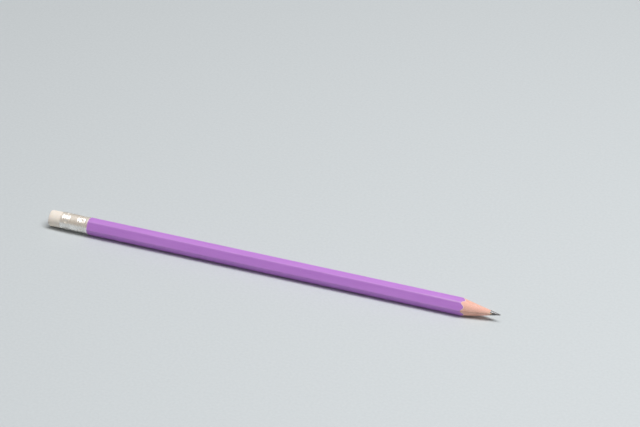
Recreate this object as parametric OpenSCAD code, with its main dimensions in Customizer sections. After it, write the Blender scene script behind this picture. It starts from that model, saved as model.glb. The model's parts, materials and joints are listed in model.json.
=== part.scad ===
// Hexagonal wood-cased pencil with a crimped ferrule and an eraser, sharpened and new.
// The pencil is built upright along +Z from its eraser's face, then laid down along X with
// its point towards +X. It lies as a real one does: on the front rim of its ferrule, which
// stands proud of the flats, and on the front end of its bottom flat.

/* [Pencil] */
// Overall length, from the eraser's face to the point
pencil_length = 190; // [150:1:230]
// Width across the flats, over the lacquer
across_flats = 6.3; // [5.2:0.05:8]
// Radius of the six long edges
edge_radius = 0.7; // [0.4:0.05:1.1]
// Thickness of the lacquer film
lacquer_thickness = 0.1; // [0.06:0.01:0.2]

/* [Lead and point] */
// Diameter of the graphite lead, and of the groove that holds it
lead_diameter = 2; // [1.6:0.1:3]
// Full angle of the sharpened cone
cone_angle = 24; // [18:0.5:28]
// Radius of the slightly blunt tip
tip_radius = 0.2; // [0.1:0.05:0.4]

/* [Ferrule] */
// Length of the ferrule
ferrule_length = 12; // [11:0.5:16]
// Thickness of the aluminium
ferrule_wall = 0.25; // [0.2:0.05:0.4]
// How far the ferrule's bore stands outside the flats
flat_relief = 0.05; // [0:0.01:0.15]
// Length of the shaved wooden end inside the ferrule
tenon_length = 6; // [4.5:0.5:8]

/* [Ferrule bands] */
// Number of rings rolled into each band
rings_per_band = 5; // [3:1:6]
// Distance from one ring to the next
ring_pitch = 0.7; // [0.5:0.05:0.8]
// Radius of the groove between two rings
ring_groove_radius = 0.3; // [0.2:0.05:0.35]
// Depth of the groove
ring_depth = 0.1; // [0.05:0.01:0.12]
// Middle of a band, from the nearer end of the ferrule
band_inset = 2.7; // [2.2:0.1:3.5]
// Number of crimp dimples round each band
dimple_count = 6; // [3:1:8]
// Radius of the punch that makes a dimple
dimple_punch_radius = 1.1; // [0.8:0.05:1.4]
// Depth of a dimple below the outside of the ferrule
dimple_depth = 0.4; // [0.2:0.05:0.6]

/* [Eraser] */
// Length of eraser that shows outside the ferrule
eraser_exposed = 5.3; // [3:0.1:9]
// How far the eraser swells beyond the ferrule's bore where it shows
eraser_swell = 0.05; // [0.02:0.01:0.15]
// Length over which it swells to that from the ferrule's mouth
swell_length = 0.6; // [0.5:0.1:1]
// Radius of the eraser's end edge
eraser_edge_radius = 0.6; // [0.3:0.05:1.2]

/* [Hidden] */
$fn = 96;

// Cross-section
flat_radius = across_flats / 2;
wood_flats = across_flats - 2 * lacquer_thickness;
wood_edge_radius = edge_radius - lacquer_thickness;
lead_radius = lead_diameter / 2;
bore_radius = flat_radius + flat_relief;
ferrule_radius = bore_radius + ferrule_wall;
eraser_radius = bore_radius + eraser_swell;
clear_radius = across_flats;

// Stations along the axis, from the eraser's face
ferrule_start = eraser_exposed;
ferrule_end = ferrule_start + ferrule_length;
tenon_start = ferrule_end - tenon_length;
half_angle = cone_angle / 2;
apex = pencil_length + tip_radius / sin(half_angle) - tip_radius;
tip_centre = pencil_length - tip_radius;
lead_shoulder = apex - lead_radius / tan(half_angle);
flat_front = apex - flat_radius / tan(half_angle);
cone_base = apex - clear_radius / tan(half_angle);

// Crimp dimples: a punched dish outside, and the metal it pushes inwards
dimple_centre = ferrule_radius - dimple_depth + dimple_punch_radius;
dimple_back_radius = dimple_punch_radius + ferrule_wall;
dimple_step = 360 / dimple_count;
eraser_band = ferrule_start + band_inset;
wood_band = ferrule_end - band_inset;
backing_radius = bore_radius + ferrule_wall / 3;

// Rest on a level surface
rest_tilt = atan((ferrule_radius - flat_radius) / (flat_front - ferrule_end));
axis_height = ferrule_end * sin(rest_tilt) + ferrule_radius * cos(rest_tilt);

// Lays an upright pencil down along X, at rest on Z = 0 and centred on the origin
module laid_down() {
    translate([-pencil_length * cos(rest_tilt) / 2, 0, axis_height])
        rotate([0, 90 + rest_tilt, 0])
            children();
}

// Hexagon with rounded corners on the Y axis and flats across the X axis
module rounded_hexagon(flats, corner_radius) {
    corner = (flats / 2 - corner_radius) / cos(30);
    rotate(30) circle(r = corner, $fn = 6);
    for (k = [0 : 2])
        rotate(60 * k) square([flats, corner], center = true);
    for (k = [0 : 5])
        rotate(60 * k + 30) translate([corner, 0]) circle(r = corner_radius);
}

// Keeps what the sharpener leaves of its children. The cone's seam lies at a corner
module sharpened() {
    intersection() {
        children();
        rotate(90) rotate_extrude()
            polygon([[0, 0], [clear_radius, 0], [clear_radius, cone_base], [0, apex]]);
    }
}

// One ball for each dimple of a band, turned by half a step on request
module punch_balls(station, radius, turn) {
    for (k = [0 : dimple_count - 1])
        rotate(dimple_step * (k + turn)) translate([dimple_centre, 0, station]) sphere(r = radius);
}

// Both bands' dimples. The two bands are half a step out of line with each other
module all_dimples(radius) {
    punch_balls(eraser_band, radius, 0);
    punch_balls(wood_band, radius, 0.5);
}

// Grooves between the rings of one band, in the ferrule's half section
module ring_grooves(station) {
    first = -(rings_per_band - 1) / 2;
    for (k = [0 : rings_per_band - 1])
        translate([ferrule_radius - ring_depth + ring_groove_radius, station + ring_pitch * (first + k)])
            circle(r = ring_groove_radius);
}

// One wooden half, split at the level of the axis. Side 1 is the upper one and -1 the lower one
module slat(side) {
    sharpened() difference() {
        union() {
            translate([0, 0, tenon_start]) linear_extrude(tenon_length) intersection() {
                slat_section(side);
                circle(r = bore_radius);
            }
            translate([0, 0, ferrule_end]) linear_extrude(pencil_length - ferrule_end) slat_section(side);
        }
        cylinder(r = lead_radius, h = pencil_length);
        punch_balls(wood_band, dimple_back_radius, 0.5);
    }
}

// Half of the hexagonal wood section
module slat_section(side) {
    intersection() {
        rounded_hexagon(wood_flats, wood_edge_radius);
        translate([-side * clear_radius / 2, 0]) square([clear_radius, 2 * clear_radius], center = true);
    }
}

// Rubber plug, rounded at the end that shows and dented under the ferrule's dimples
module eraser() {
    color("#F3E9DC") laid_down() difference() {
        rotate_extrude() intersection() {
            polygon([
                [0, 0],
                [eraser_radius, 0],
                [eraser_radius, ferrule_start - swell_length],
                [bore_radius, ferrule_start],
                [bore_radius, tenon_start],
                [0, tenon_start]
            ]);
            union() {
                square([eraser_radius - eraser_edge_radius, tenon_start]);
                translate([0, eraser_edge_radius]) square([eraser_radius, tenon_start]);
                translate([eraser_radius - eraser_edge_radius, eraser_edge_radius])
                    circle(r = eraser_edge_radius);
            }
        }
        punch_balls(eraser_band, dimple_back_radius, 0);
    }
}

// Thin aluminium tube with two bands of rings and crimp dimples
module ferrule() {
    color("#C9C4BC") laid_down() difference() {
        union() {
            rotate_extrude() difference() {
                translate([bore_radius, ferrule_start]) square([ferrule_wall, ferrule_length]);
                ring_grooves(eraser_band);
                ring_grooves(wood_band);
            }
            intersection() {
                translate([0, 0, ferrule_start]) cylinder(r = backing_radius, h = ferrule_length);
                all_dimples(dimple_back_radius);
            }
        }
        all_dimples(dimple_punch_radius);
    }
}

// Purple lacquer film on the wood, cut to six scallops by the sharpener
module lacquer_coat() {
    color("#AC77C0") laid_down() sharpened()
        translate([0, 0, ferrule_end]) linear_extrude(pencil_length - ferrule_end) difference() {
            rounded_hexagon(across_flats, edge_radius);
            rounded_hexagon(wood_flats, wood_edge_radius);
        }
}

// Upper wooden half
module upper_slat() {
    color("#F0BFA5") laid_down() slat(1);
}

// Lower wooden half, glued to the upper one and to the lead
module lower_slat() {
    color("#D9A78F") laid_down() slat(-1);
}

// Graphite lead, from the end of the wood to its sharpened and slightly blunt tip
module lead() {
    color("#4A4A4D") laid_down() rotate_extrude() intersection() {
        translate([0, tenon_start]) square([lead_radius, pencil_length - tenon_start]);
        union() {
            polygon([
                [0, 0],
                [lead_radius, 0],
                [lead_radius, lead_shoulder],
                [tip_radius * cos(half_angle), tip_centre + tip_radius * sin(half_angle)],
                [0, tip_centre]
            ]);
            translate([0, tip_centre]) circle(r = tip_radius);
        }
    }
}

eraser();
ferrule();
lacquer_coat();
upper_slat();
lower_slat();
lead();
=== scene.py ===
"""Looks of a new hexagonal pencil with a ferrule and an eraser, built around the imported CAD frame.

Shapes are laid out in pencil coordinates, in millimetres: s along the axis from the eraser's
face, u upwards from the axis and v towards +Y. to_frame() puts them in the frame, in metres.
A turn is an angle round the axis, from straight up towards +Y.
"""

import json
import math

import bpy
import numpy as np
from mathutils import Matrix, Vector

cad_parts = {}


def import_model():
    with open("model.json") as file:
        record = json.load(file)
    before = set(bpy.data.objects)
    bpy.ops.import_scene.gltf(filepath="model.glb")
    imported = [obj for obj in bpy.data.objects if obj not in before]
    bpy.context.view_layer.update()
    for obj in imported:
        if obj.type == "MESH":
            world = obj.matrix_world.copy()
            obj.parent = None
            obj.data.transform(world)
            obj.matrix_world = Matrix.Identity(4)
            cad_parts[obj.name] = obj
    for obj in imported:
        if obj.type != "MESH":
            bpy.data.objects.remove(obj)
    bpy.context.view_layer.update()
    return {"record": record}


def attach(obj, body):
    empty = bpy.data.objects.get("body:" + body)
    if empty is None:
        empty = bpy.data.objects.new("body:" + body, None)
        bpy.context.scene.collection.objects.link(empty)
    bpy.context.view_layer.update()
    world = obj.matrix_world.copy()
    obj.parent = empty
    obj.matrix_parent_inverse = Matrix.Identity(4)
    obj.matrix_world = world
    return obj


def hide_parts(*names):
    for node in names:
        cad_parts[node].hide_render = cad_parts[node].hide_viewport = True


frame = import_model()

MM = 0.001
MOUNTS = {m["name"]: m for m in frame["record"]["mounts"]}

# Driving dimensions in millimetres, the same as the CAD's
PENCIL_LENGTH = 190.0
ACROSS_FLATS = 6.3
EDGE_RADIUS = 0.7
LACQUER = 0.1
LEAD_RADIUS = 1.0
HALF_ANGLE = math.radians(12.0)
TIP_RADIUS = 0.2
FERRULE_START = 5.3
FERRULE_END = 17.3
TENON_START = 11.3
BORE_RADIUS = 3.2
FERRULE_RADIUS = 3.45
ERASER_RADIUS = 3.25
ERASER_EDGE = 0.6
BANDS = (8.0, 14.6)
RING_PITCH = 0.7
RINGS = 5
RING_DEPTH = 0.1
DIMPLES = 6
PUNCH_RADIUS = 1.1
DIMPLE_DEPTH = 0.4

# What follows from them
FLAT = ACROSS_FLATS / 2
CORNER = (FLAT - EDGE_RADIUS) / math.cos(math.radians(30))  # out to the centre of an edge's round
SLOPE = math.tan(HALF_ANGLE)
APEX = PENCIL_LENGTH + TIP_RADIUS / math.sin(HALF_ANGLE) - TIP_RADIUS
LEAD_SHOULDER = APEX - LEAD_RADIUS / SLOPE
CONE_BASE = APEX - FLAT / SLOPE

# What the looks add, in millimetres
LEAN = 0.09  # how much deeper the blade has cut on top, at the paint's edge
SMEAR = 1.0  # how far the paint runs on over the wood at the corners
NIBBLE = 0.05  # how far its edge is frayed all round
CHIP = 0.12  # and how much further in the deepest nicks
PAINT_RIPPLE = 0.008
FILM_TOP = 0.045  # how high the paint's outside stands above the cut in a smear
FILM_FOOT = 0.014  # how high its inside does
FILM_SLANT = 0.04  # the least that the film's cut edge slants forwards
SLIVER = 0.9  # how far a ragged sliver of wood runs on over the lead
SLIVER_TURN = math.radians(-76)
SLIVER_WIDTH = math.radians(13)
RAGGED = 0.10  # how unevenly the wood ends round the lead
TUCK = 0.035  # how far the wood's thin end is sunk into the lead's cone
GRAIN_DEPTH = 0.012
BLADE_DEPTH = 0.006
BLADE_PITCH = 0.42
LIP_DEPTH = 0.07  # how far the ferrule's rims are turned in
LIP_LENGTH = 0.1
DENT_SHARE = 0.8  # how much of a punch's depth shows outside
DENT_SOFTNESS = 0.09
DENT_FLATTENS = 0.14  # depth of a dent from which the rings in it are gone
FERRULE_RIPPLE = 0.006
CROWN = 0.05  # how far the eraser's end is worn back
CROWN_RIPPLE = 0.03
RUBBED_EDGE = 0.035
RUBBED_SIDE = 0.018
NECK = 0.6  # length over which the eraser narrows into the ferrule's mouth
PINCH = 0.06  # how much it narrows more at the mouth itself
CLEAR = 0.01  # how far a hidden face stays inside its neighbour
POLE = 0.02  # radius of the small face in the middle of an end

# How finely the pieces are divided, round them and along them
FLAT_POINTS = 22
EDGE_POINTS = 12
SLAT_POINTS = 205
LEAD_POINTS = 144
FERRULE_POINTS = 252
ERASER_POINTS = 180
PAINT_ROWS = 90
PAINT_END = 3.0  # length of the finely divided stretch behind the paint's edge
PAINT_END_ROWS = 60
TENON_ROWS = 60
SHANK_ROWS = 30
CONE_ROWS = 210
TIP_ROWS = 150
BAND_REACH = 1.75  # half the length of the finely divided stretch over a band
BAND_STEP = 0.05
BAND_ROWS = 84

# Table, room and light, in metres
TABLE_REACH = 3.0
TABLE_GRAIN = 900  # scale of its faint grain
PALE = (0.62, 0.66, 0.68)  # the table's colour far away, and the wall's behind it
FADE = (0.3, 0.8)  # distances from the middle over which the table fades to it
FILL = 0.20  # strength of the even light from all round
ROOM_LEAN = 0.3  # how far the mirrored room's pale ceiling leans towards +Y

# The photograph's viewing angle: a long lens from the front, right of the middle
AZIMUTH = math.radians(22.10)
ELEVATION = math.radians(30.68)
TARGET_MM = (1.37, 48.95, 0)
CAMERA_DISTANCE = 1.1082
FOCAL_LENGTH = 154.2

# The pencil's axis in the frame, from its mounts
AXIS = np.array(MOUNTS["point_cone"]["axis"])
SIDE = np.array([0.0, 1.0, 0.0])
UP = np.cross(AXIS, SIDE)
ORIGIN = np.array(MOUNTS["point_cone"]["pos_m"]) - PENCIL_LENGTH * MM * AXIS


def to_frame(points):
    """Frame coordinates in metres of an array of (s, u, v) in millimetres."""
    p = np.asarray(points, float)
    return ORIGIN + MM * (p[..., :1] * AXIS + p[..., 1:2] * UP + p[..., 2:3] * SIDE)


def waves(s, turn, seed, lengths, lobes, count=24):
    """Smooth noise from -1 to 1 over the surface, which closes round the pencil.
    lengths is the range of wavelengths along s in mm, and lobes the range of waves round it."""
    rng = np.random.default_rng(seed)
    total = np.zeros(np.broadcast(s, turn).shape)
    for _ in range(count):
        along = 2 * math.pi / rng.uniform(*lengths)
        around = rng.integers(lobes[0], lobes[1] + 1) * rng.choice((-1, 1))
        total = total + np.cos(along * s + around * turn + rng.uniform(0, 2 * math.pi))
    return np.clip(total / (1.6 * math.sqrt(count)), -1, 1)


def smooth_step(x, low, high):
    t = np.clip((x - low) / (high - low), 0, 1)
    return t * t * (3 - 2 * t)


def polar(s, radius, turn):
    """Pencil coordinates of points at a radius and a turn."""
    s, radius, turn = np.broadcast_arrays(s, radius, turn)
    return np.stack([s, radius * np.cos(turn), radius * np.sin(turn)], -1)


def round_turns(count):
    return np.linspace(0, 2 * math.pi, count, endpoint=False)


def link(name, mesh, material, node):
    """A finished piece in the scene, which stands for that CAD node."""
    piece = bpy.data.objects.new(name, mesh)
    bpy.context.scene.collection.objects.link(piece)
    mesh.materials.append(material)
    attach(piece, "root")
    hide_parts(node)


def grid_quads(rows, cols, closed):
    """Corners of the quads between rows of points, where each row joins round to its start.
    closed joins the last row to the first as well."""
    i, j = np.meshgrid(np.arange(rows if closed else rows - 1), np.arange(cols), indexing="ij")
    ahead, beside = (i + 1) % rows, (j + 1) % cols
    corners = [i * cols + j, i * cols + beside, ahead * cols + beside, ahead * cols + j]
    return np.stack(corners, -1).reshape(-1, 4)


def grid_mesh(name, points, ends, sharp, **values):
    """A closed mesh from rows of points that each run once round the pencil or a section.
    ends is "caps" for a face at each end or "ring" to join the last row to the first.
    sharp is the angle in degrees from which an edge stays hard.
    values are numbers for each row or point, kept as attributes for the materials."""
    rows, cols = points.shape[:2]
    quads = grid_quads(rows, cols, ends == "ring")
    flat = points.reshape(-1, 3)
    faces = quads.tolist()
    if ends == "caps":
        faces.append(list(range(cols))[::-1])
        faces.append([(rows - 1) * cols + k for k in range(cols)])
    mesh = bpy.data.meshes.new(name)
    mesh.from_pydata(to_frame(flat).tolist(), [], faces)
    place = mesh.attributes.new("place", "FLOAT_VECTOR", "POINT")
    place.data.foreach_set("vector", flat.astype(np.float32).ravel())
    for key, value in values.items():
        layer = mesh.attributes.new(key, "FLOAT", "POINT")
        spread = np.broadcast_to(value, points.shape[:2])
        layer.data.foreach_set("value", spread.astype(np.float32).ravel())
    if signed_volume(to_frame(flat), quads) < 0:
        mesh.flip_normals()
    mesh.polygons.foreach_set("use_smooth", [True] * len(mesh.polygons))
    mesh.set_sharp_from_angle(angle=math.radians(sharp))
    mesh.update()
    return mesh


def signed_volume(p, quads):
    """Rough volume inside the quads, whose sign tells which way they face."""
    centre = p.mean(0)
    a, b, c, d = (p[quads[:, k]] - centre for k in range(4))
    return float((np.cross(a, b) * c).sum() + (np.cross(a, c) * d).sum())


# Sections ----------------------------------------------------------------------------------


def hexagon():
    """Points round the lacquered hexagon with their outward normals, as (u, v) rows."""
    places, normals = [], []
    half = CORNER / 2
    for k in range(6):
        face = math.radians(60 * k)
        out = np.array([math.cos(face), math.sin(face)])
        across = np.array([-out[1], out[0]])
        for t in np.linspace(-half, half, FLAT_POINTS, endpoint=False):
            places.append(FLAT * out + t * across)
            normals.append(out)
        centre = CORNER * np.array([math.cos(face + math.pi / 6), math.sin(face + math.pi / 6)])
        for t in np.linspace(0, math.pi / 3, EDGE_POINTS, endpoint=False):
            way = np.array([math.cos(face + t), math.sin(face + t)])
            places.append(centre + EDGE_RADIUS * way)
            normals.append(way)
    return np.array(places), np.array(normals)


def half_outline(side):
    """Turns and radii round the bare wood of the upper (1) or lower (-1) half."""
    places, normals = hexagon()
    bare = places - LACQUER * normals
    bare = bare[np.argsort(np.arctan2(bare[:, 1], side * bare[:, 0]))]
    bare = bare[side * bare[:, 0] > -1e-9]
    turn = np.arctan2(bare[:, 1], side * bare[:, 0])
    fine = np.interp(np.linspace(0, 1, SLAT_POINTS), np.linspace(0, 1, len(turn)), turn)
    radius = np.interp(fine, turn, np.linalg.norm(bare, axis=1))
    return (fine if side > 0 else math.pi - fine), radius


def cone_radius(s):
    return (APEX - s) * SLOPE


def lean_rate(turn):
    """Extra narrowing of the cone for each millimetre back from the lead."""
    return LEAN * (1 + np.cos(turn)) / 2 / (LEAD_SHOULDER - CONE_BASE)


def cut_radius(s, turn):
    """Radius of the sharpened surface, which lies a little deeper on top."""
    return cone_radius(s) - lean_rate(turn) * np.clip(LEAD_SHOULDER - s, 0, None)


def cut_station(radius, turn):
    """Where the sharpened surface has a radius, behind the lead."""
    rate = lean_rate(turn)
    return (APEX * SLOPE - rate * LEAD_SHOULDER - radius) / (SLOPE - rate)


def groove_depth(s):
    """How far the rings' grooves cut into the ferrule at a station."""
    depth = 0.0
    for band in BANDS:
        for k in range(RINGS):
            d = s - (band + RING_PITCH * (k - (RINGS - 1) / 2))
            if abs(d) < RING_PITCH / 2:
                depth = max(depth, RING_DEPTH * math.cos(math.pi * d / RING_PITCH) ** 2)
    return depth


def dimple_depth(s, turn, punch, soft=0.0):
    """How far the dimples push a punch of that radius below the ferrule's outside.
    soft rounds their rims."""
    depth = np.full(np.broadcast(s, turn).shape, -punch)
    centre = FERRULE_RADIUS - DIMPLE_DEPTH + PUNCH_RADIUS
    for band, shift in zip(BANDS, (0, 0.5)):
        for k in range(DIMPLES):
            d = turn - 2 * math.pi * (k + shift) / DIMPLES
            inside = punch ** 2 - (s - band) ** 2 - (centre * np.sin(d)) ** 2
            r = centre * np.cos(d) - np.sqrt(np.clip(inside, 0, None))
            facing = (inside > 0) & (np.cos(d) > 0)
            depth = np.maximum(depth, np.where(facing, FERRULE_RADIUS - r, -punch))
    return (depth + np.sqrt(depth ** 2 + soft ** 2)) / 2


def dented_bore(s, turn):
    """Radius of the ferrule's inside, where the dimples bulge inwards."""
    dents = dimple_depth(s, turn, PUNCH_RADIUS + FERRULE_RADIUS - BORE_RADIUS)
    return np.minimum(BORE_RADIUS, FERRULE_RADIUS - dents)


# Shapes ------------------------------------------------------------------------------------


def paint_edge(turn, reach, corner):
    """Where the paint ends: on the cut, a little nibbled, and further on at the corners."""
    nibble = NIBBLE + NIBBLE * waves(0, turn, 11, (1, 2), (9, 60))
    nibble += CHIP * np.clip(waves(0, turn, 12, (1, 2), (14, 40)) - 0.45, 0, 1)
    smear = SMEAR * (1 - smooth_step(corner, 1, 14))
    return cut_station(reach, turn) + smear - nibble


def paint_stations(edge):
    """Stations along the paint's outside, closer over the last stretch before its edge."""
    last = edge - PAINT_END
    long = [FERRULE_END + (last - FERRULE_END) * t for t in np.linspace(0, 1, PAINT_ROWS)[:-1]]
    return long + [last + PAINT_END * t for t in np.linspace(0, 1, PAINT_END_ROWS)]


def lacquer_mesh():
    """The film: its outside, the scalloped cut that the sharpener left, and its inside."""
    places, normals = hexagon()
    turn = np.arctan2(places[:, 1], places[:, 0])
    reach = np.linalg.norm(places, axis=1)
    corner = np.abs(np.degrees(turn) % 60 - 30)
    edge = paint_edge(turn, reach, corner)

    def sunk(sag):
        return places - sag[:, None] * normals

    def inside(s):
        return sunk(np.maximum(LACQUER, reach - cut_radius(s, turn) - FILM_FOOT))

    rows, depths = [], []
    for s in paint_stations(edge):
        sag = PAINT_RIPPLE * (1 + waves(s, turn, 13, (9, 70), (1, 7))) / 2
        sag = np.maximum(sag, reach - cut_radius(s, turn) - FILM_TOP)
        rows.append(np.column_stack([s, sunk(sag)]))
        depths.append(0.0)
    outer = rows[-1][:, 1:]
    foot = np.maximum(cut_station(reach - LACQUER, turn), edge + FILM_SLANT)
    for t in np.linspace(0, 1, 7)[1:]:
        s = edge + (foot - edge) * t
        rows.append(np.column_stack([s, outer + (inside(s) - outer) * t]))
        depths.append(t)
    for t in np.concatenate([np.linspace(0, 0.02, 20)[1:], np.linspace(0.02, 1, 12)[1:]]):
        s = foot + (FERRULE_END - foot) * t
        rows.append(np.column_stack([s, inside(s)]))
        depths.append(1.0)
    # How near each point is to a corner; the paint's colour uses it for a painted highlight along
    # the upper corners.
    near = 1 - smooth_step(corner, 3, 10)
    return grid_mesh(
        "lacquer_coat", np.array(rows), "ring", 35, depth=np.array(depths)[:, None], corner=near)


def slat_rows(angle, radius, collar):
    """Stations, outer radii and the groove's radii of a half's rows, from tenon to lead."""
    groove = np.full(len(angle), LEAD_RADIUS)
    start = cut_station(radius, angle)
    rows = []
    for s in np.linspace(TENON_START, FERRULE_END, TENON_ROWS):
        rows.append((s, dented_bore(s, angle) - CLEAR, groove))
    for t in np.linspace(0, 1, SHANK_ROWS):
        rows.append((FERRULE_END + (start - FERRULE_END) * t, radius, groove))
    for t in np.linspace(0, 1, CONE_ROWS)[1:]:
        s = start + (collar - start) * t
        fade = smooth_step(t, 0, 0.03) * (1 - smooth_step(t, 0.97, 1))
        grain = GRAIN_DEPTH * (1 + waves(s, angle, 22, (3, 14), (30, 190), 40)) / 2
        chatter = 3 * angle + 2 * waves(s, angle, 23, (2, 6), (1, 6))
        blade = BLADE_DEPTH * (1 + np.cos(2 * math.pi * s / BLADE_PITCH + chatter)) / 2
        outer = cut_radius(s, angle) + GRAIN_DEPTH - fade * (grain + blade)
        rows.append((s, outer, np.minimum(LEAD_RADIUS, cone_radius(s) - TUCK)))
    return rows


def slat_mesh(name, side):
    """One wooden half: tenon, hexagonal shank, sharpened cone and the groove for the lead."""
    angle, radius = half_outline(side)
    off = np.angle(np.exp(1j * (angle - SLIVER_TURN)))
    sliver = np.exp(-(off / SLIVER_WIDTH) ** 2)
    collar = LEAD_SHOULDER + RAGGED * waves(0, angle, 21, (1, 2), (5, 40)) + SLIVER * sliver
    steps = np.linspace(0, 1, 6)[1:-1, None]
    loops, sliver_highlights = [], []
    for s, outer, inner in slat_rows(angle, radius, collar):
        rim = polar(s, outer, angle)
        groove = polar(s, inner, angle)[::-4]
        there = rim[-1] + (groove[0] - rim[-1]) * steps
        back = groove[-1] + (rim[0] - groove[-1]) * steps
        loops.append(np.concatenate([rim, there, groove, back]))
        # Painted highlight: the ragged sliver of wood over the lead is coloured pale, as if lit.
        pale = sliver * smooth_step(s, collar - 2.2, collar - 0.4)
        sliver_highlights.append(np.pad(pale, (0, len(loops[-1]) - len(pale))))
    loops = np.array(loops)
    return grid_mesh(name, loops, "caps", 35, seam=np.abs(loops[..., 1]), pale=np.array(sliver_highlights))


def lead_mesh():
    """The graphite rod with its sharpened cone and slightly worn tip."""
    turn = round_turns(LEAD_POINTS)
    rod = LEAD_RADIUS - CLEAR
    rows = [polar(TENON_START, POLE, turn)]
    for s in np.linspace(TENON_START, LEAD_SHOULDER - 0.6, 12):
        rows.append(polar(s, rod, turn))
    tangent = PENCIL_LENGTH - TIP_RADIUS * (1 - math.sin(HALF_ANGLE))
    for s in np.linspace(LEAD_SHOULDER - 0.5, tangent, TIP_ROWS):
        worn = 0.010 + 0.006 * waves(s, turn, 31, (0.15, 0.6), (0, 3))
        worn += 0.005 * np.cos(9 * turn + 0.7 * s)
        rows.append(polar(s, np.minimum(rod, cone_radius(s) - worn), turn))
    for a in np.linspace(HALF_ANGLE, math.pi / 2 - 0.02, 16)[1:]:
        s = PENCIL_LENGTH - TIP_RADIUS * (1 - math.sin(a))
        r = TIP_RADIUS * math.cos(a) * (0.94 + 0.05 * np.cos(2 * turn + 1))
        rows.append(polar(s - 0.02 * (1 + np.cos(turn - 2)) * math.sin(a), r, turn))
    return grid_mesh("lead", np.array(rows), "caps", 50)


def ferrule_stations():
    """Stations along the ferrule, closer over its two bands."""
    first, second = BANDS
    beside = BAND_REACH + BAND_STEP
    return np.concatenate([
        np.linspace(FERRULE_START, first - beside, 14),
        np.linspace(first - BAND_REACH, first + BAND_REACH, BAND_ROWS),
        np.linspace(first + beside, second - beside, 22),
        np.linspace(second - BAND_REACH, second + BAND_REACH, BAND_ROWS),
        np.linspace(second + beside, FERRULE_END, 14),
    ])


def ferrule_mesh():
    """The crimped aluminium tube: turned-in rims, two bands of rings, dimples and its inside."""
    turn = round_turns(FERRULE_POINTS)
    stations = ferrule_stations()
    rows, hollows = [], []
    for s in stations:
        rim = min(s - FERRULE_START, FERRULE_END - s)
        lip = LIP_DEPTH * (1 - math.sqrt(1 - max(0, 1 - rim / LIP_LENGTH) ** 2))
        rings = groove_depth(s)
        dents = DENT_SHARE * dimple_depth(s, turn, PUNCH_RADIUS, DENT_SOFTNESS)
        left = rings * (1 - smooth_step(dents, 0.0, DENT_FLATTENS))
        uneven = FERRULE_RIPPLE * (1 + waves(s, turn, 41, (3, 12), (1, 6))) / 2
        depth = np.maximum(left + dents, lip) + uneven
        rows.append(polar(s, FERRULE_RADIUS - depth, turn))
        hollows.append(rings / RING_DEPTH + dents)
    for s in stations[::-3]:
        rows.append(polar(s, dented_bore(s, turn), turn))
        hollows.append(np.ones(len(turn)))
    return grid_mesh("ferrule", np.array(rows), "ring", 35, hollow=np.array(hollows))


def eraser_end_rows(turn):
    """The worn end: its face from the middle outwards, and its round edge."""
    rows, ends = [], []
    flat_radius = ERASER_RADIUS - ERASER_EDGE
    for r in np.linspace(POLE, flat_radius, 30):
        uneven = CROWN_RIPPLE * waves(3 * r, turn, 51, (2, 9), (1, 5))
        rows.append(polar(CROWN + uneven, r, turn))
        ends.append(1.0)
    for a in np.linspace(0, math.pi / 2, 20)[1:]:
        rub = RUBBED_EDGE * (1 + waves(a, turn, 52, (2, 6), (2, 12))) / 2
        s = ERASER_EDGE - (ERASER_EDGE - (CROWN + rub) * math.cos(a)) * math.cos(a)
        rows.append(polar(s, flat_radius + (ERASER_EDGE - rub) * math.sin(a), turn))
        ends.append(1 - a / math.pi)
    return rows, ends


def eraser_mesh():
    """The rubber plug, with a worn round edge and the ferrule's dents where it is held."""
    turn = round_turns(ERASER_POINTS)
    rows, ends = eraser_end_rows(turn)
    worn = len(ends)
    for s in np.linspace(ERASER_EDGE, FERRULE_START - NECK, 40)[1:]:
        rub = RUBBED_SIDE * (1 + waves(s, turn, 52, (2, 6), (2, 12))) / 2
        rows.append(polar(s, ERASER_RADIUS - rub, turn))
    swell = ERASER_RADIUS - BORE_RADIUS
    for t in np.linspace(0, 1, 10)[1:]:
        squeeze = swell * (1 - (1 - t) ** 2) + 0.012 * (1 - t) + PINCH * t ** 3
        rows.append(polar(FERRULE_START - NECK * (1 - t), ERASER_RADIUS - squeeze, turn))
    for s in np.linspace(FERRULE_START, TENON_START, 60)[1:]:
        rows.append(polar(s, dented_bore(s, turn) - CLEAR, turn))
    rows.append(polar(TENON_START, POLE, turn))
    ends += [0.0] * (len(rows) - worn)
    return grid_mesh("eraser", np.array(rows), "caps", 50, end=np.array(ends)[:, None])


# Materials ---------------------------------------------------------------------------------


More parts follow.
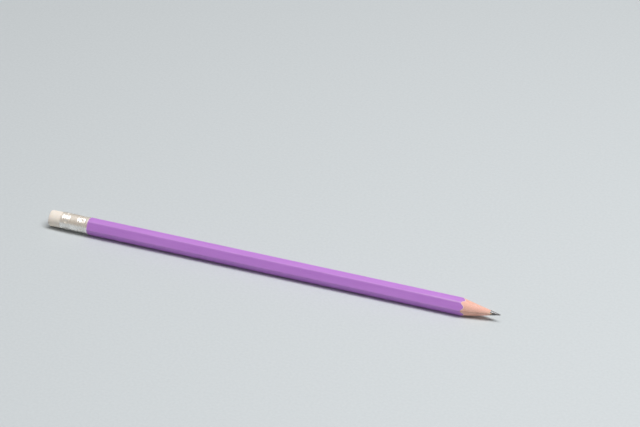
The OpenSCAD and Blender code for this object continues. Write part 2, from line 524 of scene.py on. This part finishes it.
class Shader:
    """A node material with short calls for the nodes that the finishes use."""

    def __init__(self, name):
        self.material = bpy.data.materials.new(name)
        self.material.use_nodes = True
        self.nodes = self.material.node_tree.nodes
        self.links = self.material.node_tree.links
        self.bsdf = self.nodes["Principled BSDF"]

    def put(self, socket, value):
        """Links an output to a socket, or sets the socket's own value."""
        if isinstance(value, bpy.types.NodeSocket):
            self.links.new(value, socket)
        elif hasattr(value, "__len__") and len(value) == 3 and len(socket.default_value) == 4:
            socket.default_value = (*value, 1)
        else:
            socket.default_value = value

    def set(self, **values):
        """Sets the main shader's sockets, named with underscores for spaces."""
        for key, value in values.items():
            self.put(self.bsdf.inputs[key.replace("_", " ")], value)

    def attribute(self, name, output="Fac"):
        node = self.nodes.new("ShaderNodeAttribute")
        node.attribute_name = name
        return node.outputs[output]

    def place(self, scale=(1, 1, 1)):
        """Pencil coordinates in millimetres, times a scale on each axis."""
        node = self.nodes.new("ShaderNodeMapping")
        self.put(node.inputs["Vector"], self.attribute("place", "Vector"))
        node.inputs["Scale"].default_value = scale
        return node.outputs["Vector"]

    def coordinate(self, which, span):
        """How far s, u or v (0, 1 or 2) is along a span of millimetres, as a share."""
        node = self.nodes.new("ShaderNodeSeparateXYZ")
        self.put(node.inputs[0], self.place())
        return self.times(node.outputs[which], 1 / span)

    def noise(self, scale, detail=3, roughness=0.5, stretch=(1, 1, 1)):
        node = self.nodes.new("ShaderNodeTexNoise")
        self.put(node.inputs["Vector"], self.place(stretch))
        node.inputs["Scale"].default_value = scale
        node.inputs["Detail"].default_value = detail
        node.inputs["Roughness"].default_value = roughness
        return node.outputs["Fac"]

    def cells(self, scale, stretch=(1, 1, 1)):
        node = self.nodes.new("ShaderNodeTexVoronoi")
        self.put(node.inputs["Vector"], self.place(stretch))
        node.inputs["Scale"].default_value = scale
        return node.outputs["Distance"]

    def ramp(self, value, *stops):
        """stops are (position, number) or (position, colour)."""
        node = self.nodes.new("ShaderNodeValToRGB")
        self.put(node.inputs["Fac"], value)
        while len(node.color_ramp.elements) < len(stops):
            node.color_ramp.elements.new(0.5)
        for element, (position, colour) in zip(node.color_ramp.elements, stops):
            element.position = position
            element.color = (*colour, 1) if hasattr(colour, "__len__") else (colour,) * 3 + (1,)
        return node.outputs["Color"]

    def times(self, a, b):
        node = self.nodes.new("ShaderNodeMath")
        node.operation = "MULTIPLY"
        self.put(node.inputs[0], a)
        self.put(node.inputs[1], b)
        return node.outputs[0]

    def mix(self, share, a, b):
        node = self.nodes.new("ShaderNodeMix")
        node.data_type = "RGBA"
        self.put(node.inputs["Factor"], share)
        self.put(node.inputs[6], a)
        self.put(node.inputs[7], b)
        return node.outputs[2]

    def bump(self, height, distance_mm, strength, normal=None):
        node = self.nodes.new("ShaderNodeBump")
        node.inputs["Strength"].default_value = strength
        node.inputs["Distance"].default_value = distance_mm * MM
        self.put(node.inputs["Height"], height)
        if normal is not None:
            self.put(node.inputs["Normal"], normal)
        return node.outputs["Normal"]


def paint_colour(sh, speck):
    """The paint's colour, with a painted highlight along the upper corners near the point, and paler
    on specks.
    """
    tone = sh.noise(0.6, 4, 0.55, (0.12, 1, 1))
    paint = sh.ramp(tone, (0.3, (0.510, 0.212, 0.660)), (0.7, (0.555, 0.240, 0.705)))
    # Painted highlight: the paint is made paler along the upper corners near the point, where light
    # glints on the rounded edges.
    worn = sh.times(sh.attribute("corner"), sh.noise(1.4, 3, 0.6, (0.3, 1, 1)))
    front = sh.ramp(sh.coordinate(0, PENCIL_LENGTH), (0.80, 0.35), (0.90, 1.0))
    above = sh.ramp(sh.coordinate(1, FLAT), (0.1, 0.3), (0.4, 1.0))
    paint = sh.mix(sh.times(worn, sh.times(front, above)), paint, (0.68, 0.42, 0.76))
    return sh.mix(sh.times(speck, 0.45), paint, (0.78, 0.62, 0.84))


def lacquer_finish():
    """Satin-gloss purple paint on a pale undercoat, with soft ripples and dust specks."""
    sh = Shader("lacquer")
    dust = sh.ramp(sh.cells(0.9), (0.06, 1.0), (0.11, 0.0))
    keep = sh.ramp(sh.noise(0.35, 2), (0.54, 0.0), (0.60, 1.0))
    speck = sh.times(dust, keep)
    paint_cut = ((0.02, (0.40, 0.16, 0.52)), (0.45, (0.47, 0.22, 0.58)))
    undercoat = ((0.62, (0.86, 0.66, 0.72)), (0.9, (0.93, 0.74, 0.66)))
    layers = sh.ramp(sh.attribute("depth"), *paint_cut, *undercoat)
    cut = sh.ramp(sh.attribute("depth"), (0.0, 0.0), (0.05, 1.0))
    colour = sh.mix(cut, paint_colour(sh, speck), layers)
    rough = sh.ramp(sh.noise(0.9, 4, 0.6, (0.25, 1, 1)), (0.3, 0.27), (0.7, 0.36))
    rough = sh.mix(cut, rough, (0.6, 0.6, 0.6))
    ripples = sh.bump(sh.noise(0.9, 3, 0.5, (0.1, 1, 1)), 0.02, 0.6)
    peel = sh.bump(sh.noise(5, 2), 0.0025, 0.6, ripples)
    nibs = sh.bump(speck, 0.01, 0.8, peel)
    sh.set(Base_Color=colour, Roughness=rough, Normal=nibs, Specular_IOR_Level=0.3)
    return sh.material


def wood_finish(name, shift):
    """Pinkish cedar-like wood, with fibres along the pencil and fine turning marks.
    shift from 0 to 1 makes one half a little finer than the other, and darker with painted shade."""
    sh = Shader(name)
    bands = sh.noise(0.9 + 0.1 * shift, 4, 0.6, (0.06, 1, 1.4))
    fibres = sh.noise(7, 5, 0.7, (0.05, 1, 1))
    dark, middle, light = (0.90, 0.50, 0.400), (0.96, 0.56, 0.46), (0.98, 0.61, 0.515)
    colour = sh.ramp(bands, (0.3, dark), (0.52, middle), (0.72, light))
    colour = sh.mix(sh.ramp(fibres, (0.42, 0.5), (0.6, 0.0)), colour, (0.70, 0.38, 0.28))
    pores = sh.ramp(sh.cells(6, (0.07, 1, 1)), (0.05, 1.0), (0.12, 0.0))
    colour = sh.mix(sh.times(pores, 0.35), colour, (0.52, 0.26, 0.18))
    # Painted shade: the half given shift 1, the lower one, is darkened a little.
    colour = sh.mix(0.10 * shift, colour, (0.55, 0.30, 0.22))
    glue = sh.ramp(sh.attribute("seam"), (0.03, 0.75), (0.07, 0.0))
    colour = sh.mix(glue, colour, (0.33, 0.19, 0.13))
    # Painted highlight: pale colour on the sliver of wood over the lead.
    colour = sh.mix(sh.times(sh.attribute("pale"), 0.8), colour, (0.98, 0.82, 0.58))
    marks = sh.noise(5, 3, 0.6, (1, 0.15, 0.15))
    rough = sh.ramp(fibres, (0.3, 0.72), (0.7, 0.58))
    turned = sh.bump(marks, 0.006, 0.6, sh.bump(fibres, 0.02, 0.7))
    sh.set(Base_Color=colour, Roughness=rough, Normal=turned, Specular_IOR_Level=0.2)
    sh.set(Subsurface_Weight=0.08, Subsurface_Radius=(1.0, 0.5, 0.3), Subsurface_Scale=0.0006)
    return sh.material


def lead_finish():
    """Burnished graphite with streaks round the cone."""
    sh = Shader("graphite")
    streaks = sh.noise(9, 4, 0.6, (1, 0.2, 0.2))
    colour = sh.ramp(streaks, (0.35, (0.10, 0.10, 0.105)), (0.65, (0.17, 0.17, 0.175)))
    rough = sh.ramp(sh.noise(3, 3), (0.3, 0.22), (0.7, 0.34))
    sh.set(Base_Color=colour, Roughness=rough, Normal=sh.bump(streaks, 0.004, 0.6))
    sh.set(Metallic=0.7, Specular_IOR_Level=1.0)
    return sh.material


def ferrule_finish():
    """Bright rolled aluminium, duller in the grooves, with drawing marks and faint smudges."""
    sh = Shader("aluminium")
    smudge = sh.noise(0.8, 4, 0.6)
    colour = sh.ramp(smudge, (0.3, (0.80, 0.78, 0.75)), (0.7, (0.90, 0.885, 0.86)))
    # Darker colour in the rings' grooves, the dents and the inside of the tube.
    hollow_darkening = sh.ramp(sh.attribute("hollow"), (0.2, 0.0), (1.0, 0.35))
    colour = sh.mix(hollow_darkening, colour, (0.60, 0.58, 0.55))
    rough = sh.ramp(smudge, (0.3, 0.24), (0.7, 0.32))
    dull = sh.ramp(sh.attribute("hollow"), (0.1, 0.0), (0.8, 1.0))
    rough = sh.mix(dull, rough, (0.40, 0.40, 0.40))
    drawn = sh.bump(sh.noise(6, 3, 0.6, (1, 0.08, 0.08)), 0.0012, 0.5)
    sh.set(Base_Color=colour, Metallic=1.0, Roughness=rough, Normal=drawn)
    return sh.material


def eraser_finish():
    """Matte off-white eraser with flecks and darker pink-grey patches over its end."""
    sh = Shader("eraser")
    cloud = sh.noise(0.7, 4, 0.6)
    colour = sh.ramp(cloud, (0.3, (0.91, 0.815, 0.715)), (0.7, (0.955, 0.87, 0.775)))
    # Darker pink-grey patches over the end face, fading over its round edge.
    patches = sh.ramp(sh.noise(1.6, 5, 0.7), (0.5, 0.0), (0.75, 0.45))
    colour = sh.mix(sh.times(sh.attribute("end"), patches), colour, (0.66, 0.56, 0.54))
    flecks = sh.ramp(sh.cells(5), (0.06, 0.5), (0.11, 0.0))
    colour = sh.mix(flecks, colour, (0.70, 0.64, 0.58))
    grit = sh.bump(sh.noise(9, 4, 0.7), 0.02, 0.6)
    sh.set(Base_Color=colour, Roughness=sh.ramp(cloud, (0.3, 0.78), (0.7, 0.9)), Normal=grit)
    sh.set(Subsurface_Weight=0.15, Subsurface_Radius=(1.0, 0.8, 0.6), Subsurface_Scale=0.0008)
    sh.set(Specular_IOR_Level=0.3)
    return sh.material


# Stage -------------------------------------------------------------------------------------


def fade_far_off(sh, coordinates):
    """Lets the camera see the table as evenly pale, well away from the pencil."""
    reach = sh.nodes.new("ShaderNodeVectorMath")
    reach.operation = "LENGTH"
    sh.put(reach.inputs[0], coordinates)
    far = sh.ramp(reach.outputs["Value"], (FADE[0], 0.0), (FADE[1], 1.0))
    seen = sh.nodes.new("ShaderNodeLightPath").outputs["Is Camera Ray"]
    glow = sh.nodes.new("ShaderNodeEmission")
    sh.put(glow.inputs["Color"], PALE)
    both = sh.nodes.new("ShaderNodeMixShader")
    sh.put(both.inputs["Fac"], sh.times(far, seen))
    sh.put(both.inputs[1], sh.bsdf.outputs[0])
    sh.put(both.inputs[2], glow.outputs[0])
    sh.put(sh.nodes["Material Output"].inputs["Surface"], both.outputs[0])


def floor():
    """A plain pale table."""
    mesh = bpy.data.meshes.new("floor")
    r = TABLE_REACH
    mesh.from_pydata([(-r, -r, 0), (r, -r, 0), (r, r, 0), (-r, r, 0)], [], [(0, 1, 2, 3)])
    table = bpy.data.objects.new("floor", mesh)
    bpy.context.scene.collection.objects.link(table)
    sh = Shader("table")
    coordinates = sh.nodes.new("ShaderNodeTexCoord").outputs["Object"]
    grain = sh.nodes.new("ShaderNodeTexNoise")
    sh.put(grain.inputs["Vector"], coordinates)
    grain.inputs["Scale"].default_value = TABLE_GRAIN
    colour = sh.ramp(grain.outputs["Fac"], (0.3, (0.590, 0.625, 0.640)), (0.7, (0.62, 0.655, 0.67)))
    sh.set(Base_Color=colour, Roughness=0.75, Specular_IOR_Level=0.3)
    fade_far_off(sh, coordinates)
    mesh.materials.append(sh.material)


def area_light(name, direction, distance, size, power):
    """An oval softbox that faces the middle of the pencil; size is its width along X and Y."""
    light = bpy.data.lights.new(name, "AREA")
    light.shape = "ELLIPSE"
    light.size, light.size_y = size
    light.energy = power
    lamp = bpy.data.objects.new(name, light)
    way = Vector(direction).normalized()
    lamp.location = way * distance
    lamp.rotation_mode = "QUATERNION"
    lamp.rotation_quaternion = way.to_track_quat("Z", "Y")
    bpy.context.scene.collection.objects.link(lamp)


def warm_room(nodes, links):
    """The room that glossy surfaces mirror: warm, paler overhead and a little towards +Y."""
    height = nodes.new("ShaderNodeSeparateXYZ")
    links.new(nodes.new("ShaderNodeTexCoord").outputs["Generated"], height.inputs[0])
    lean = nodes.new("ShaderNodeMath")
    lean.operation = "MULTIPLY_ADD"
    links.new(height.outputs["Y"], lean.inputs[0])
    lean.inputs[1].default_value = ROOM_LEAN
    links.new(height.outputs["Z"], lean.inputs[2])
    walls = nodes.new("ShaderNodeValToRGB")
    links.new(lean.outputs[0], walls.inputs["Fac"])
    low, high = walls.color_ramp.elements
    low.color = (0.50, 0.455, 0.405, 1)
    high.color = (0.88, 0.81, 0.73, 1)
    high.position = 0.95
    walls.color_ramp.elements.new(0.45).color = (0.58, 0.525, 0.46, 1)
    room = nodes.new("ShaderNodeBackground")
    links.new(walls.outputs["Color"], room.inputs["Color"])
    return room


def world():
    """Dim even light from all round. Glossy surfaces see it as a warm pale room, and the
    camera as a wall of the table's colour."""
    made = bpy.data.worlds.new("world")
    made.use_nodes = True
    nodes, links = made.node_tree.nodes, made.node_tree.links
    fill = nodes["Background"]
    fill.inputs["Color"].default_value = (0.97, 0.98, 1.0, 1)
    fill.inputs["Strength"].default_value = FILL
    wall = nodes.new("ShaderNodeBackground")
    wall.inputs["Color"].default_value = (*PALE, 1)
    rays = nodes.new("ShaderNodeLightPath").outputs
    result = fill.outputs[0]
    for ray, shade in (("Is Glossy Ray", warm_room(nodes, links)), ("Is Camera Ray", wall)):
        both = nodes.new("ShaderNodeMixShader")
        links.new(rays[ray], both.inputs["Fac"])
        links.new(result, both.inputs[1])
        links.new(shade.outputs[0], both.inputs[2])
        result = both.outputs[0]
    links.new(result, nodes["World Output"].inputs["Surface"])
    bpy.context.scene.world = made


def camera():
    """The camera at the photograph's viewing angle."""
    data = bpy.data.cameras.new("camera")
    data.sensor_width = 36
    data.lens = FOCAL_LENGTH
    data.clip_start = 0.01
    data.clip_end = 20
    eye = bpy.data.objects.new("camera", data)
    level = math.cos(ELEVATION)
    back = Vector((math.sin(AZIMUTH) * level, -math.cos(AZIMUTH) * level, math.sin(ELEVATION)))
    eye.location = Vector(TARGET_MM) * MM + back * CAMERA_DISTANCE
    eye.rotation_mode = "QUATERNION"
    eye.rotation_quaternion = (-back).to_track_quat("-Z", "Y")
    bpy.context.scene.collection.objects.link(eye)
    bpy.context.scene.camera = eye


link("eraser_plug", eraser_mesh(), eraser_finish(), "eraser")
link("ferrule_tube", ferrule_mesh(), ferrule_finish(), "ferrule")
link("lacquer_film", lacquer_mesh(), lacquer_finish(), "lacquer_coat")
link("wood_upper", slat_mesh("upper_slat", 1), wood_finish("wood_upper", 0), "upper_slat")
# The lower half is a darker copy of the wood, with painted shade.
link("wood_lower", slat_mesh("lower_slat", -1), wood_finish("wood_lower", 1), "lower_slat")
link("graphite_lead", lead_mesh(), lead_finish(), "lead")

floor()
world()
area_light("overhead", direction=(0.29, -0.02, 0.955), distance=1.2, size=(0.60, 1.15), power=14.5)
camera()
bpy.context.scene.view_settings.view_transform = "Standard"
